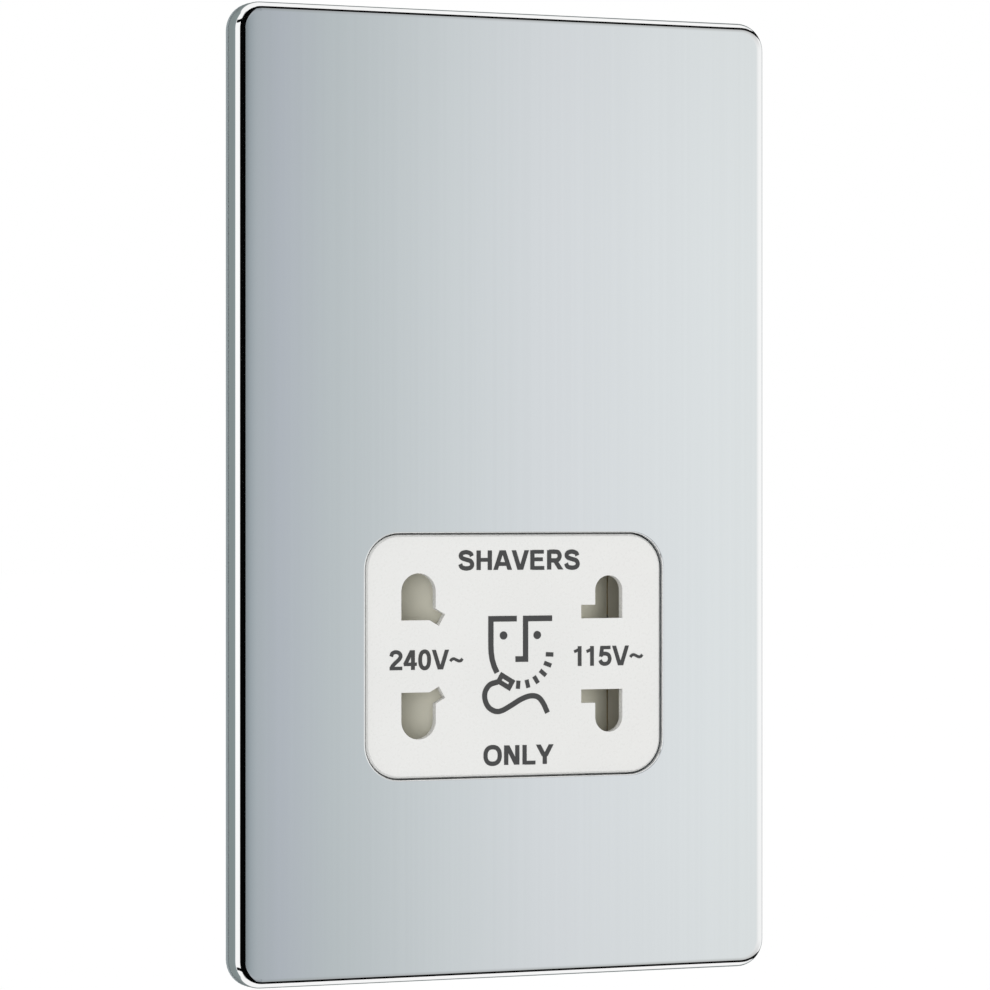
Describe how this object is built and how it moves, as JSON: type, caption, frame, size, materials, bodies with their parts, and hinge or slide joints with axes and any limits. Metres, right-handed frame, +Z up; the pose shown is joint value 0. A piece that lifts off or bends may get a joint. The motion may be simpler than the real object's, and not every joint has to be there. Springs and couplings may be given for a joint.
{
  "type": "shaver socket",
  "caption": "Upright chrome wall plate with a white shaver socket face, shaped pin slots, a sprung shutter behind them, and an isolating transformer in a rear housing.",
  "frame": {"origin": "on the wall plane, midway between the two fixing screws", "axes": "+Z up the plate, +Y into the wall, +X to the right seen from the front"},
  "size_m": [0.086, 0.0469, 0.146],
  "materials": {
    "chrome_plate": "polished",
    "frame_moulding": "satin",
    "face_moulding": "satin",
    "shutter_moulding": "satin",
    "carrier_moulding": "satin",
    "spring_steel": "satin",
    "contact_brass": "satin",
    "housing_moulding": "satin",
    "core_steel": "oiled",
    "bobbin_moulding": "satin",
    "winding_copper": "lacquered",
    "cutout_case": "gloss",
    "screw_steel": "zinc plated",
    "print_ink": "matt print",
    "lead_brown": "satin",
    "lead_blue": "satin",
    "lead_white": "satin"
  },
  "bodies": {
    "socket": {"front_plate": "chrome_plate", "mounting_frame": "frame_moulding", "socket_face": "face_moulding", "shutter_spring": "spring_steel", "contact_carrier": "carrier_moulding", "contact_cover": "carrier_moulding", "common_contact": "contact_brass", "contact_240v": "contact_brass", "contact_115v": "contact_brass", "rear_housing": "housing_moulding", "core_e_stack": "core_steel", "core_i_stack": "core_steel", "bobbin": "bobbin_moulding", "primary_winding": "winding_copper", "secondary_winding": "winding_copper", "thermal_cutout": "cutout_case", "terminal_live": "contact_brass", "terminal_neutral": "contact_brass", "terminal_earth": "contact_brass", "terminal_screws": "screw_steel", "fixing_screws": "screw_steel", "housing_screws": "screw_steel", "earth_strip": "spring_steel", "lead_neutral": "lead_blue", "lead_common": "lead_white", "lead_115v": "lead_white", "lead_240v": "lead_white", "lead_live": "lead_brown"},
    "shutter": {"shutter_slider": "shutter_moulding"}
  },
  "joints": [
    {"name": "shutter_slide", "type": "slide", "parent": "socket", "child": "shutter", "axis": [1, 0, 0], "range_m": [-0.0072, 0.0072], "stiffness_N_per_m": 120, "deforming": ["shutter_spring"]}
  ]
}
